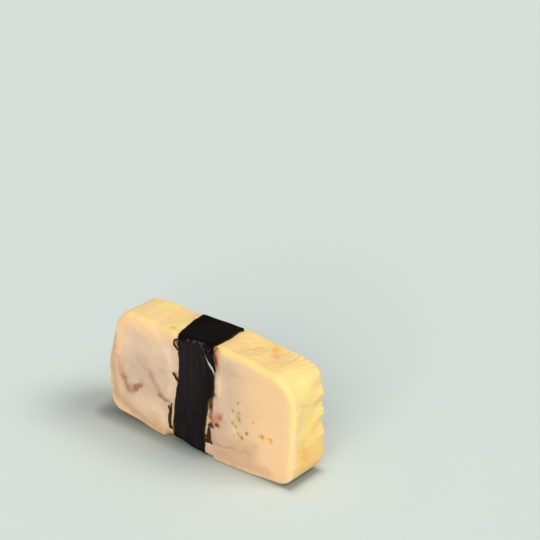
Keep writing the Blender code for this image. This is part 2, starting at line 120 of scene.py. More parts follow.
# Marks by tint. Each is a stroke: its width, its strength, and the places that it runs through, which are
# x and z on the front cut face, x and y on the top, and y and z on the right end.
FRONT_MARKS = {
    "seam": (
        (1.5, 0.35, (-34, 19.6), (-33.5, 16.2)),
        (1.4, 0.55, (-33.4, 15.8), (-32.6, 13.4), (-31.2, 11.6), (-29.6, 11.6), (-28.1, 13.4)),
        (1.6, 0.3, (-31.5, 13.4), (-29, 13.2)), (0.9, 1.1, (-27.6, 13.9), (-26.2, 15), (-25.2, 15.8)),
        (1, 0.25, (-23.6, 22.8), (-21.4, 22.4), (-19.4, 22.7)),
        (0.8, 0.2, (-28.8, 25.6), (-26.4, 25.9), (-23.8, 26.6), (-22, 26.4)),
        (0.5, 0.35, (-27.5, 27.4), (-27.2, 28)),
        (1.5, 0.48, (-20.6, 20.8), (-19.4, 18.8), (-18, 17), (-16.8, 16)),
        (0.8, 0.62, (-16.8, 14.9), (-15.2, 14.4), (-13.6, 14)), (0.9, 0.3, (-13.6, 14), (-11, 13.4)),
        (0.6, 0.45, (9, 6.6), (12.2, 6.7), (15.7, 7.5)), (0.8, 0.25, (16.5, 7), (20.8, 7.4), (22.3, 7.2)),
        (0.6, 0.2, (11.2, 12.6), (11, 12.2)), (0.7, 0.75, (9.6, 15.6), (9.8, 16.2)),
        (1.4, 0.3, (7.8, 14.6), (9.2, 15.6)),
    ),
    "rose": (
        (1.5, 0.55, (-35.8, 22.5), (-35.4, 19.5), (-35, 15.5)), (1.6, 0.25, (-30.6, 4.4), (-27, 4.6)),
        (1.6, 0.3, (-18.2, 4.6), (-15.4, 3.2)), (1.9, 1, (7.4, 14.4), (9, 15.8)),
        (0.7, 0.5, (9.7, 16.2), (10.9, 17.5)), (2, 0.4, (10, 4.2), (15, 4.6)),
        (2, 0.3, (17.5, 7), (21.5, 7.1)), (1.3, 0.3, (13, 33.4), (19, 32.6)),
    ),
    "grey": (
        (1.3, 0.5, (-25.6, 17), (-24.6, 17.6)), (2.6, 0.25, (-24, 24.5), (-18, 23), (-15.4, 24.2)),
        (2, 0.2, (-28.5, 22.5), (-27, 25)),
    ),
    # rust: darker orange-brown strokes on the egg along the strip's right edge and under its flap, and a
    # short one to the right
    "rust": (
        (1.3, 0.85, (8.3, 39), (8.5, 36.9), (8.4, 34.6), (8.2, 33.2)),
        (1.2, 0.75, (6.6, 23), (6, 21.6), (5.8, 19.8), (5.6, 17.4), (5.7, 14)),
        (1, 0.8, (8.2, 13.1), (9.4, 12.7)),
    ),
    # tan: painted shade along the left and lower rims, where the face turns from the light, and low on the
    # right of the face
    "tan": (
        (2.2, 0.7, (-36.5, 7.5), (-28.6, 4), (-18.6, 2.6), (-14, 1.6)),
        (1.9, 0.85, (-37.6, 30), (-38.6, 20), (-37.6, 9)), (2.4, 0.6, (6, 2), (15, 2.4), (24, 3), (30, 3)),
        (4.2, 0.68, (10, 8), (23, 8.5)),
    ),
    # paler patches of the egg; the thin pale lines beside the strip's right edge are painted highlight
    "cream_and_highlight": (
        (3.5, 0.5, (-27, 8.5), (-19, 9.5), (-15.5, 7.5)), (5.5, 0.4, (-31, 31), (-17, 32.5)),
        (3.5, 0.32, (10.4, 28), (11.4, 21)), (2.2, 0.4, (-12.5, 33), (-10.6, 24), (-12, 18)),
        (1, 0.5, (9.4, 30), (9.2, 24)), (0.4, 0.8, (4.3, 17.1), (4.5, 14.2), (4.9, 12.3)),
    ),
    "amber": ((0.85, 1, (30.6, 15.6), (31.2, 15.1)),),
    "lemon": ((0.7, 0.35, (-11.2, 11), (-11, 4)), (1.6, 0.25, (15.8, 18.5), (16.6, 13.5))),
    "mustard": (
        (1, 0.3, (17.6, 19.4), (17.7, 18.2)), (0.9, 0.4, (27, 15.4), (28.2, 15.7)),
        (0.8, 0.35, (18, 13.4), (19.6, 12.6)),
    ),
    "olive": (
        (1.2, 0.55, (17.6, 19.4), (17.7, 18.2)), (0.7, 0.45, (15.6, 17), (15, 15.9), (16.8, 15.4)),
        (0.6, 0.4, (15.2, 20), (15.5, 20.8)), (0.6, 0.35, (17.5, 23.4), (17.6, 24.2)),
        (0.7, 0.4, (21, 14.4), (21.8, 14.9)), (0.8, 0.35, (17.6, 13.6), (19.3, 12.5)),
        (0.9, 0.5, (27, 15.4), (28.2, 15.7)), (0.9, 0.35, (25, 11.8), (25.2, 10.6)), (0.7, 0.2, (25, 8.8)),
        (0.6, 0.25, (25.4, 22.1)), (0.5, 0.25, (18.7, 17.3)), (1.4, 0.35, (-15.4, 24.4)),
    ),
    "brown": (
        # brown: the first strokes darken the egg along the strip's right edge; the rest are small dark dots
        (0.55, 0.8, (7.7, 39.2), (7.8, 36.5), (8, 33.8)),
        (0.9, 0.95, (6.7, 22.8), (6, 21.4), (5.7, 19.6), (5.6, 18.4)),
        (0.8, 0.62, (5.8, 18.2), (5.8, 14.6)), (0.5, 0.8, (5.8, 12.9), (6.6, 11.6)),
        (0.72, 0.85, (8.7, 13), (9.2, 12.7)), (0.4, 0.35, (7.4, 13), (8.2, 13)), (0.3, 0.4, (10.9, 17.5)),
        (0.3, 0.35, (16.4, 1.4)), (0.3, 0.35, (28.3, 1.2)), (0.35, 0.5, (19.2, 12.4), (19.5, 12.7)),
    ),
}
TOP_MARKS = {
    "mustard": ((1, 0.85, (-13.4, -5.6), (-12.6, -5.4)),),
    "olive": ((0.9, 0.25, (17, 1.6), (18.4, 2.6)),),
    "lemon": (
        (2.6, 0.5, (-15, -5), (-10.5, -1)), (3, 0.35, (15, 2.5), (17.5, 3.5)), (4, 0.4, (29, -5), (33, 2)),
    ),
    "amber": (
        (1.6, 0.7, (24.6, 1.6), (22.4, 5.4)), (2.4, 0.22, (10.5, -4), (12, -1)),
        (1.2, 0.25, (29, -1), (34.2, 3.3)),
    ),
    "cream_and_highlight": ((3, 0.3, (-30, 2), (-22, -3)),),
}
END_MARKS = {
    "lemon": (
        (4.5, 0.45, (-5.5, 38.5), (-1, 33)), (4, 0.55, (-1, 24), (1, 16)),
        (1.6, 0.6, (-7.2, 27), (-6.6, 24)), (1.5, 0.4, (1.3, 24.4)),
    ),
    "amber": (
        (0.5, 0.5, (-3.9, 29), (0, 28), (3.8, 27.1), (6.5, 27.3)), (2.2, 0.4, (-3, 13), (-1.5, 9)),
        (5, 0.2, (4, 18), (3, 6)),
    ),
    # a painted highlight along the right end's front edge
    "cream_and_highlight": ((1, 0.75, (-9, 37), (-8, 30), (-7.6, 16), (-7.6, 3)),),
}

# The marks' tints as screen values, 0 to 255, in the order in which they are laid over each other
TINTS = {
    # tan stands for painted shade on the egg's rims
    "tan": (205, 168, 136), "cream_and_highlight": (248, 216, 180), "lemon": (253, 228, 130), "mustard": (232, 186, 72),
    "grey": (186, 168, 146), "rose": (202, 147, 128), "amber": (243, 179, 88), "rust": (196, 128, 78),
    "olive": (178, 146, 84), "seam": (166, 116, 90), "brown": (84, 44, 20),
}

# The nori strip, and how tightly it sits on the slice
NORI_OUTSIDE = 0.70
NORI_INSIDE = 0.45
SIDE_DENT = 0.5
FOOT_DENT = 0.8
EGG_SPRING = 0.40
SHOULDER = 3.0
FOOT_SHOULDER = 1.2
SHOULDER_HEIGHT = 1.3
DENT_MARGIN = 0.5
STEP_ROOM = 1.5
LEFT_LOW_RADIUS = 3.6
LOW_RADIUS = 1.6
LOW_RADIUS_CHANGE = (-7.5, -1.0)
BACK_LOW_RADIUS = 1.8
HIGH_RADIUS = 1.4
BACK_HIGH_RADIUS = 1.6
LAP_STEP = 0.5
STRIP_STEP = 0.30
STRIP_COLUMNS = 46
STRIP_BENDS = 12
CORNER_ROOM = 2.0
STRIP_START = 0.50
STRIP_END = 8.74
LAP_PLACES = (8.38, 8.48)
TEAR = 0.22
TORN_CORNER = 1.0
TORN_CORNER_PLACE = 6.97
TORN_CORNER_WIDTH = 0.07
EDGE_LIFT = 0.35
EDGE_STRETCH = 15

# The strip's torn edges as (z, x) up the front face and up the back face; the last ones hold on the top
LEFT_EDGE = {
    "bulge": -0.9,
    "front": (
        (1, -10.4), (6.8, -10.4), (10.3, -9.9), (15.1, -9.9), (19.1, -9.2), (22.9, -8.3), (28.1, -8),
        (38.4, -8.2), (39.3, -8.4),
    ),
    "back": ((1, -10.5), (39.3, -10.7)),
}
RIGHT_EDGE = {
    "bulge": 1,
    "front": (
        (1, 4.4), (6, 4.4), (10.3, 3.9), (15.5, 4.4), (18.7, 4.8), (21.1, 5.3), (22.2, 6.9), (25.9, 7.6),
        (30.3, 7.6), (32, 8.2), (34, 7.6), (39, 7.2), (39.3, 7.9),
    ),
    "back": ((1, 4.5), (36, 4.6), (39.3, 6.2)),
}
TOP_EDGE = (38.4, 39.3)
LEFT_SLIVER = {"z": (1.6, 12.6), "slit": 1.3, "start": 0.6}
RIGHT_SLIVER = {"z": (5.6, 12.4), "slit": 1.4, "start": 0.9}
SLIVER_TIP = 0.3
SLIVER_WIDTH = 1
SLIVER_BRIDGE = 4
SLIVER_BACK = (3, 8)
SLIVER_ABOVE = (0.5, 4)

# Where the strip and its flap are crushed, as x and z: a line, and its width
STRIP_CRUSH = (((3.4, 38.6), (4.8, 36.6)), 2.6)
FLAP_CRUSH = (((3.2, 39), (4.6, 37), (5.6, 35.4)), 1.5)
OLIVE_EDGE = (((-10.6, 6.8), (-10, 3.8), (-10, 2)), 0.8)

# Bits torn from the sheet: x, z, distance out of the front face and half width at places along each
SHREDS = {
    "loop": (
        (-7.4, 38.7, 0.1, 0.34), (-8.1, 38.9, 0.4, 0.4), (-8.9, 38.6, 0.6, 0.42), (-9.3, 37.8, 0.7, 0.36),
        (-9.2, 36.8, 0.7, 0.44), (-8.7, 36, 0.5, 0.38), (-8, 35.2, 0.3, 0.38), (-7.4, 34.4, -0.1, 0.28),
    ),
    "thread": (
        (-8.6, 38.6, 0.5, 0.2), (-8.3, 37.8, 0.4, 0.18), (-8, 36.8, 0.3, 0.2), (-7.6, 35.8, 0, 0.14),
    ),
    "barb": (
        (-10.4, 26, 0.6, 0.24), (-9.8, 25.6, 0.6, 0.52), (-9.2, 24.7, 0.5, 0.54), (-8.6, 23.6, 0.3, 0.5),
        (-7.8, 22.2, 0, 0.4),
    ),
    "left_hook": (
        (-12.7, 12.9, 0.3, 0.2), (-12.3, 12, 0.3, 0.34), (-11.8, 11, 0.2, 0.4), (-11.7, 9.8, 0.2, 0.3),
    ),
    "right_hook": (
        (4.3, 8, 0, 0.3), (5.3, 7.8, 0.3, 0.46), (6.2, 7.3, 0.4, 0.52), (7, 6.6, 0.4, 0.46),
        (7.6, 5.9, 0.3, 0.28),
    ),
    "right_spur": (
        (5.2, 12.2, 0.2, 0.24), (6, 12.3, 0.3, 0.36), (6.9, 12.1, 0.3, 0.34), (7.6, 11.9, 0.2, 0.16),
    ),
}

# The loose flap: its left and its right side as places of x, z and distance out
FLAP = (
    (
        (2.6, 39.2, 0.05), (3.2, 37.9, 0.2), (3.8, 36, 0.3), (4.8, 34.1, 0.35), (6.2, 32.7, 0.45),
        (8.2, 31.2, 0.55),
    ),
    (
        (7.3, 39.2, 0.05), (7.4, 38, 0.25), (7.5, 36, 0.5), (7.8, 34.4, 0.55), (8.2, 32.8, 0.6),
        (8.5, 31.4, 0.6),
    ),
)
FLAP_THICK = 0.15

# The flap's torn lip: a ribbon coloured as a painted glint, pale where it is broad, with places like those of
# a torn bit
GLINT = (
    (3.6, 36.8, 0.36, 0.05), (4.2, 35.4, 0.4, 0.12), (5, 34.1, 0.44, 0.2), (5.9, 33.1, 0.5, 0.32),
    (6.9, 32.2, 0.54, 0.36), (7.6, 31.2, 0.48, 0.24), (7.9, 29.8, 0.38, 0.1), (7.9, 28.6, 0.3, 0.05),
)

# The photo's view of the slice, from a camera that was fitted to its outline
AZIMUTH = 39.63
ELEVATION = 25.92
DISTANCE = 600.0
AIM_HEIGHT = 20.0
AIM = (18.27, 38.92)
LENS = 120.84
SENSOR = 36.0

# The floor's painted shade: a line of contact, and to the left a near and a wide shade
CONTACT_SHADE = 0.60
CONTACT_LESS_LEFT = 0.50
CONTACT_FADE = 1.2
NEAR_SHADE = 0.39
NEAR_FADE = (2, 8)
WIDE_SHADE = 0.15
WIDE_FADE = 18


def smoothstep(value, low, high):
    """0 below low, 1 above high, and 3t^2 - 2t^3 between."""
    t = np.clip((value - low) / (high - low), 0, 1)
    return t * t * (3 - 2 * t)


def between(value, low, full, last_full, high):
    """0 below low and above high, 1 from full to last_full, and smoothsteps between."""
    return smoothstep(value, low, full) * (1 - smoothstep(value, last_full, high))


def curve(value, points):
    """A smooth line through (place, height) points: each stretch is a smoothstep."""
    places, heights = (np.array(column) for column in zip(*points))
    low = np.clip(np.searchsorted(places, value) - 1, 0, len(places) - 2)
    share = smoothstep(value, places[low], places[low + 1])
    return heights[low] + (heights[low + 1] - heights[low]) * share


def waves(x, y, z, wavelength, seed, count=7):
    """Smooth noise from -1 to 1: a few plane waves of seeded directions and phases."""
    rng = np.random.default_rng(seed)
    total = 0
    for _ in range(count):
        direction = rng.normal(size=3)
        direction /= np.linalg.norm(direction)
        wave_number = 2 * math.pi / (wavelength * rng.uniform(0.75, 1.35))
        along = direction[0] * x + direction[1] * y + direction[2] * z
        total = total + np.sin(wave_number * along + rng.uniform(0, 2 * math.pi))
    return total / math.sqrt(count)


def torn(length, seed):
    """A torn edge's offset, -1 to 1: straight lines between seeded heights, coarse and fine."""
    rng = np.random.default_rng(seed)
    total = 0
    for spacing, share in ((1.9, 0.6), (0.75, 0.4)):
        knots = np.arange(0, length.max() + 2 * spacing, spacing)
        total = total + share * np.interp(length, knots, rng.uniform(-1, 1, len(knots)))
    return total


def spaced(low, high, cell):
    """Places from low to high that are about cell(place) apart: equal steps of the integral of 1 / cell."""
    fine = np.linspace(low, high, 4000)
    share = np.concatenate([[0], np.cumsum(np.diff(fine) / cell((fine[1:] + fine[:-1]) / 2))])
    return np.interp(np.linspace(0, share[-1], math.ceil(share[-1]) + 1), share, fine)


def cell_quads(nodes, turn=1):
    """The cells of a grid of node numbers as quads, turned over if turn is -1."""
    corners = (nodes[:-1, :-1], nodes[1:, :-1], nodes[1:, 1:], nodes[:-1, 1:])
    return np.stack(corners[::turn], axis=-1).reshape(-1, 4)


def box_grid(places):
    """(x, y, z of every node, outward quads) of a closed grid over a box's six sides, welded at its edges."""
    counts = [len(p) for p in places]
    quads = []
    for axis in range(3):
        across, along = (axis + 1) % 3, (axis + 2) % 3
        p, q = np.meshgrid(np.arange(counts[across]), np.arange(counts[along]), indexing="ij")
        for end, turn in ((0, -1), (counts[axis] - 1, 1)):
            node = np.empty((3, *p.shape), int)
            node[axis], node[across], node[along] = end, p, q
            quads.append(cell_quads(np.ravel_multi_index(node, counts), turn))
    keys, quads = np.unique(np.concatenate(quads), return_inverse=True)
    places = [place[i] for place, i in zip(places, np.unravel_index(keys, counts))]
    return *places, quads.reshape(-1, 4)


def outline_corners():
    """The slice's outline seen from the front, anticlockwise: each corner's x, z and radius."""
    return (
        (LEFT_END, FOOT_LIFT, 6.0),
        (FOOT_START, 0.0, 20.0),
        (RIGHT_END, 0.0, 6.8),
        (RIGHT_END, HEIGHT - TOP_SLOPE, 9.5),
        (LEFT_END + TOP_LEAN, HEIGHT + TOP_SLOPE / 2, 5.6),
        (LEFT_END + 0.2, 0.53 * HEIGHT, 15.0),
    )


def rounded_polygon(corners, spacing=0.05):
    """Points along a closed polygon whose corners are arcs of the given radii."""
    points = []
    for i, (x, z, radius) in enumerate(corners):
        here = np.array((x, z))
        before = np.array(corners[i - 1][:2]) - here
        after = np.array(corners[(i + 1) % len(corners)][:2]) - here
        before /= np.linalg.norm(before)
        after /= np.linalg.norm(after)
        half_angle = math.acos(np.clip(before @ after, -1, 1)) / 2
        bisector = (before + after) / np.linalg.norm(before + after)
        centre = here + bisector * radius / math.sin(half_angle)
        start = here + before * radius / math.tan(half_angle) - centre
        sweep = math.pi - 2 * half_angle
        turns = np.linspace(0, sweep, max(3, int(sweep * radius / spacing)))
        cosines, sines = np.cos(turns), np.sin(turns)
        arc_x = centre[0] + start[0] * cosines - start[1] * sines
        arc_z = centre[1] + start[0] * sines + start[1] * cosines
        points.append(np.column_stack([arc_x, arc_z]))
    return np.vstack(points)


class Outline:
    """The slice's outline, looked up by direction from its middle."""

    def __init__(self):
        dense = rounded_polygon(outline_corners())
        closed = np.vstack([dense, dense[:1]])
        arc = np.r_[0, np.cumsum(np.linalg.norm(np.diff(closed, axis=0), axis=1))]
        even = np.arange(0, arc[-1], 0.05)
        line = np.column_stack([np.interp(even, arc, column) for column in closed.T])
        tangent = np.roll(line, -4, axis=0) - np.roll(line, 4, axis=0)
        tangent /= np.linalg.norm(tangent, axis=1)[:, None]
        self.middle = np.array([(LEFT_END + RIGHT_END) / 2, HEIGHT / 2])
        out = line - self.middle
        angle = np.arctan2(out[:, 1], out[:, 0])
        order = np.argsort(angle)
        self.angle = angle[order]
        self.columns = np.column_stack([np.hypot(*out.T), tangent[:, 1], -tangent[:, 0], even])[order]

    def at(self, angle):
        """(radius, x and z of the outward normal, arc length) in these directions."""
        radius, nx, nz = (
            np.interp(angle, self.angle, self.columns[:, i], period=2 * math.pi) for i in range(3)
        )
        long = np.hypot(nx, nz)
        return radius, nx / long, nz / long, np.interp(angle, self.angle, self.columns[:, 3])


def skin_relief(x, y, z, arc):
    """Height of the skin over the outline: swells, wrinkles, the mat's toothed ridges and fine puckers.

    The ridges are cosines along the height, and they show on the right end and its upper corner."""
    off_the_foot = smoothstep(z, 2.2, 5.0)
    swell = SWELL * waves(x, 0.6 * y, z, wavelength=16, seed=3)
    wrinkle = WRINKLE * waves(x, 0.35 * y, z, wavelength=5.5, seed=11)
    bend = RIDGE_BEND * waves(x, y, z, wavelength=9, seed=5)
    tooth = 1 - 2 * np.abs(np.sin(math.pi * arc / TOOTH_PITCH + 2 * bend))
    ridge = np.cos(2 * math.pi * (z - RIDGE_LEAN * y - RIDGE_PEAK) / RIDGE_PITCH + RIDGE_BEND * bend)
    from_front = smoothstep(y, -THICKNESS / 2, THICKNESS / 2)
    ridges = RIDGE * ridge * from_front**3 + TOOTH * tooth * from_front**6
    pucker = PUCKER * waves(x, 0.5 * y, z, wavelength=1.7, seed=12, count=11)
    crumple = CRUMPLE * (0.5 - np.abs(waves(x, y, z, wavelength=3.4, seed=14, count=15)))
    relief = swell + wrinkle + smoothstep(x, 16, 30) * smoothstep(z, 8, 18) * ridges
    return off_the_foot * (relief + pucker * smoothstep(x, -12, 20) + crumple * smoothstep(x, 6, 16))


def strip_edge(edge, y, z):
    """x of an edge of the strip: its front and its back line, blended through the thickness."""
    front_x, back_x = (np.interp(z, *zip(*edge[side])) for side in ("front", "back"))
    back = np.clip(y / THICKNESS + 0.5, 0, 1)
    bulge = edge["bulge"] * np.sin(math.pi * back) * smoothstep(z, *TOP_EDGE)
    return front_x + (back_x - front_x) * back + bulge


def sliver_room(sliver, y, z):
    """How much wider the dent is, low on the front face, to take a sliver as well."""
    reach = sliver["slit"] + SLIVER_WIDTH
    behind, above = y + THICKNESS / 2, z - sliver["z"][1]
    return reach * (1 - smoothstep(behind, *SLIVER_BACK)) * (1 - smoothstep(above, *SLIVER_ABOVE))


def tip_room(y, z):
    """How much wider the dent is, at the back of the top, to take the tip of the strip's torn corner."""
    return TORN_CORNER * smoothstep(y, 1, 5) * (1 - smoothstep(HEIGHT - z, 4, 7))


def section_radii(x):
    """Corner radii of the squeezed section at x: front low, back low, front high and back high."""
    front_low = LEFT_LOW_RADIUS + (LOW_RADIUS - LEFT_LOW_RADIUS) * smoothstep(x, *LOW_RADIUS_CHANGE)
    return front_low, BACK_LOW_RADIUS, HIGH_RADIUS, BACK_HIGH_RADIUS


def section_box(x):
    """(half thickness, low z, high z) of the section that the strip squeezes the slice to."""
    along = (x - LEFT_END - TOP_LEAN) / (RIGHT_END - LEFT_END - TOP_LEAN)
    top = HEIGHT + TOP_SLOPE / 2 - 1.5 * TOP_SLOPE * along
    return THICKNESS / 2 - SIDE_DENT, FOOT_DENT, top - SIDE_DENT


def squeeze(x, y, z):
    """The slice pressed in under the strip to a rounded section, with a smooth shoulder at each side."""
    half, low, high = section_box(x)
    middle, half_height = (low + high) / 2, (high - low) / 2
    radii = section_radii(x)
    front, back = (np.where(z < middle, *radii[side::2]) for side in (0, 1))
    radius = np.where(y < 0, front, back)
    dy = np.abs(y) - (half - radius)
    dz = np.abs(z - middle) - (half_height - radius)
    corner = np.hypot(np.maximum(dy, 0), np.maximum(dz, 0))
    outside = corner + np.minimum(np.maximum(dy, dz), 0) - radius
    in_corner = (dy > 0) & (dz > 0)
    ny = np.where(in_corner, dy / np.maximum(corner, 1e-6), dy > dz) * np.sign(y)
    nz = np.where(in_corner, dz / np.maximum(corner, 1e-6), dy <= dz) * np.sign(z - middle)
    left_reach = strip_edge(LEFT_EDGE, y, z) - DENT_MARGIN - sliver_room(LEFT_SLIVER, y, z)
    right_edge = np.maximum(strip_edge(RIGHT_EDGE, y, z), strip_edge(RIGHT_EDGE, y, z + STEP_ROOM))
    right_reach = right_edge + DENT_MARGIN + sliver_room(RIGHT_SLIVER, y, z) + tip_room(y, z)
    away = np.maximum(np.maximum(left_reach - x, x - right_reach), 0)
    shoulder = FOOT_SHOULDER + (SHOULDER - FOOT_SHOULDER) * smoothstep(z, 1, 5)
    allowed = EGG_SPRING + (SHOULDER_HEIGHT - EGG_SPRING) * smoothstep(away, 0, shoulder)
    push = np.where(away < shoulder, np.maximum(outside - allowed, 0), 0)
    return x, y - ny * push, z - nz * push


def settled(x, y, z):
    """The points with the top raised and the lower front pushed forward into a belly."""
    back = np.clip(y / THICKNESS + 0.5, 0, 1)
    rise = curve(x, FRONT_RISE) * (1 - back) + curve(x, BACK_RISE) * back
    belly = curve(x, BELLY) * (1 - back) * (1 - smoothstep(z, 0, BELLY_TOP))
    return x, y - belly, z + rise * smoothstep(z, RISE_FROM, HEIGHT)


def pocket_depth(x, z, pockets):
    """Depth of the air pockets at these places: each has a steep, uneven wall and a round floor."""
    depth = np.zeros_like(x)
    for number, (px, pz, radius) in enumerate(pockets):
        dx, dz = x - px, z - pz
        turn = np.arctan2(dz, dx)
        lobes = 1 + 0.18 * np.sin(3 * turn + number) + 0.10 * np.sin(5 * turn + 2 * number)
        share = np.hypot(dx, dz) / (radius * lobes)
        depth = np.maximum(depth, POCKET_DEPTH * (1 - smoothstep(share, 0.35, 1.25)))
    return depth


def small_pores(side):
    """Small air pockets over a cut face, by a seeded draw: x, z and radius of each."""
    rng = np.random.default_rng(40 + side)
    ranges = ((LEFT_END + 4, RIGHT_END - 4), (4, HEIGHT - 5), (0.18, 0.34))
    return np.column_stack([rng.uniform(low, high, SMALL_PORES) for low, high in ranges])


def near_line(u, v, places, width):
    """1 on a line through these places, or on one spot, and 0 well away: exp(-(distance / width)^2)."""
    closest = np.full(u.shape, np.inf)
    for (u0, v0), (u1, v1) in zip(places, places[1:] or places):
        du, dv = u1 - u0, v1 - v0
        along = np.clip(((u - u0) * du + (v - v0) * dv) / max(du * du + dv * dv, 1e-9), 0, 1)
        closest = np.minimum(closest, np.hypot(u - u0 - along * du, v - v0 - along * dv))
    return np.exp(-((closest / width) ** 2))


def painted(u, v, strokes):
    """The sum of the strokes' strength times nearness."""
    return sum(strength * near_line(u, v, places, width) for width, strength, *places in strokes)


def slice_shape():
    """The omelette slice: a box's grid is spread over the outline, its rims rounded and its skin raised.

    In the plane of the outline, a node on the box's square ring r lies at r times the way from the middle to
    a blend of the rectangle and the outline, so that the outer ring is the outline itself."""
    outline = Outline()
    half_x, half_y, half_z = (RIGHT_END - LEFT_END) / 2, THICKNESS / 2, HEIGHT / 2

    def cell_x(x):
        under_strip, by_pockets = between(x, -10, -7, 1, 3), between(x, 10, 12, 30, 32)
        return CELL_X + 0.6 * under_strip - 0.16 * by_pockets - 0.14 * smoothstep(np.abs(x), 36, 38)

    def cell_z(z):
        near_rim = smoothstep(np.abs(z - half_z), half_z - 3, half_z - 1)
        return CELL_Z - 0.14 * between(z, 8, 10, 25, 27) - 0.12 * near_rim

    def cell_y(y):
        return CELL_Y - 0.22 * smoothstep(np.abs(y), half_y - 3, half_y - 1)

    places = (spaced(LEFT_END, RIGHT_END, cell_x), spaced(-half_y, half_y, cell_y), spaced(0, HEIGHT, cell_z))
    x, y, z, quads = box_grid(places)
    a, b = (x - outline.middle[0]) / half_x, (z - half_z) / half_z
    ring = np.maximum(np.abs(a), np.abs(b))
    angle = np.arctan2(b * half_z, a * half_x)
    cosine, sine = np.cos(angle), np.sin(angle)
    rim_radius, nx, nz, arc = outline.at(angle)
    square_radius = 1 / np.maximum(np.abs(cosine) / half_x, np.abs(sine) / half_z)
    radius = ring * (square_radius + (rim_radius - square_radius) * ring**3)
    inward = np.where(ring < 1 - 1e-9, (rim_radius - radius) * (cosine * nx + sine * nz), 0)
    (rim_x, rim_z), (plain_x, plain_z) = (
        (outline.middle[0] + reach * cosine, outline.middle[1] + reach * sine)
        for reach in (rim_radius, radius)
    )
    front_rounding = FOOT_RADIUS + (FRONT_RADIUS - FOOT_RADIUS) * smoothstep(rim_z, 1, 7)
    top_left = smoothstep(rim_z, 33, 38) * between(rim_x, -38, -33, -20, -10)
    rounding = np.where(y < 0, front_rounding + SOFT_EDGE * top_left, BACK_RADIUS)
    rounding = rounding * (1 + RIM_UNEVENNESS * waves(rim_x, y, rim_z, wavelength=14, seed=31))
    from_face = half_y - np.abs(y)
    on_face = np.abs(y) > half_y - 1e-9
    turn = math.pi / 4 * np.where(
        on_face, 1 - np.minimum(inward / rounding, 1), 1 + np.minimum(from_face / rounding, 1)
    )
    inset = np.where(on_face & (inward > rounding), inward, rounding * (1 - np.sin(turn)))
    depth = np.where(on_face | (from_face < rounding), rounding * (1 - np.cos(turn)), from_face)
    raised = skin_relief(rim_x, y, rim_z, arc) * np.exp(-((inward / RELIEF_REACH) ** 2))
    move = np.where(on_face, inward, 0) - inset + raised
    x, z = plain_x + nx * move, plain_z + nz * move
    side = np.sign(y)
    crown = FACE_CROWN * smoothstep(inward, 0, 9)
    crown = crown + FACE_SWELL * waves(plain_x, 0, plain_z, wavelength=12, seed=21)
    custard = CUSTARD * waves(plain_x, 3 * side, plain_z, wavelength=3.2, seed=22, count=11)
    grain = CUSTARD_GRAIN * waves(plain_x, 5 * side, plain_z, wavelength=1.1, seed=23, count=13)
    proud = (crown + custard + grain) * smoothstep(inward, 0, 3)
    pits = np.where(y < 0, pocket_depth(x, z, POCKETS), 0)
    pores = np.where(y < 0, *(pocket_depth(x, z, small_pores(face)) for face in (0, 1)))
    cut = np.where(on_face, pits + 0.5 * pores * smoothstep(inward, 1, 3), 0)
    y = side * (half_y - depth + np.where(on_face, proud - cut, 0))
    paint = slice_paint(x, y, z, np.where(on_face, inward, -from_face), cut)
    return settled(*squeeze(x, y, z)), quads, paint


def slice_paint(x, y, z, rim, cut):
    """What the finish reads at each node: distance in from the cut's rim, how peachy it is, a pale band along
    the rim that is partly painted highlight, and each tint.

    The peachy rim of the cut is widest at the left end's top and over the last third of the right half. Over
    the right half the peachy tone is partly the egg's own colour and partly painted light on the face's lit
    side."""
    x, y, z = (p + MARK_WANDER * waves(x, y, z, 2.6, 71 + i, count=11) for i, p in enumerate((x, y, z)))
    front = (y < 0) * smoothstep(rim, -1.2, -0.2)
    top = smoothstep(z, HEIGHT - 9, HEIGHT - 4) * smoothstep(rim, 0.2, -0.8)
    end = smoothstep(x, RIGHT_END - 7, RIGHT_END - 3) * smoothstep(rim, 0.8, -0.4)
    reach = 12 - 7 * smoothstep(x, -25, -5)
    # a peachy rim, and towards the right a peachy tone that is partly painted light on the face's lit side
    peach_and_lit_side = np.maximum(1 - smoothstep(rim, 0, reach), smoothstep(x, 4, 34))
    # a pale band along the rim of the right half: partly the egg's paler rim, partly a painted highlight
    # where the rounded edge meets the light
    pale_rim_and_highlight = np.exp(-(((rim - 0.2) / 1.9) ** 2)) * smoothstep(x, 2, 16) * smoothstep(z, 3, 8)
    paint = {"rim": rim, "peach_and_lit_side": peach_and_lit_side, "pale rim and highlight": pale_rim_and_highlight, "pocket": cut / POCKET_DEPTH}
    zones = ((front, x, z, FRONT_MARKS), (top, x, y, TOP_MARKS), (end, y, z, END_MARKS))
    for tint in TINTS:
        paint[tint] = sum(zone * painted(u, v, marks.get(tint, ())) for zone, u, v, marks in zones)
    paint["amber"] = paint["amber"] + 0.28 * end * (1 - smoothstep(z, 4, 30))
    return paint


def strip_places():
    """Places round the section as numbers: each whole number starts a straight side or a corner.

    0 is the back going down, 1 its corner, 2 the foot going forward, 3 its corner, 4 the front going up,
    5 its corner, 6 the top going back, 7 its corner, and 8 the back going down again, over the start."""
    tall = int((HEIGHT - 2 * CORNER_ROOM) / STRIP_STEP)
    wide = int((THICKNESS - 2 * CORNER_ROOM) / STRIP_STEP)
    rows = [np.linspace(STRIP_START, 1, tall // 2, endpoint=False)]
    steps = (STRIP_BENDS, wide, STRIP_BENDS, tall, STRIP_BENDS, wide, STRIP_BENDS)
    for side, count in enumerate(steps, start=1):
        rows.append(np.linspace(side, side + 1, count, endpoint=False))
    rows.append(np.linspace(8, STRIP_END, int(tall * (STRIP_END - 8))))
    return np.concatenate(rows)


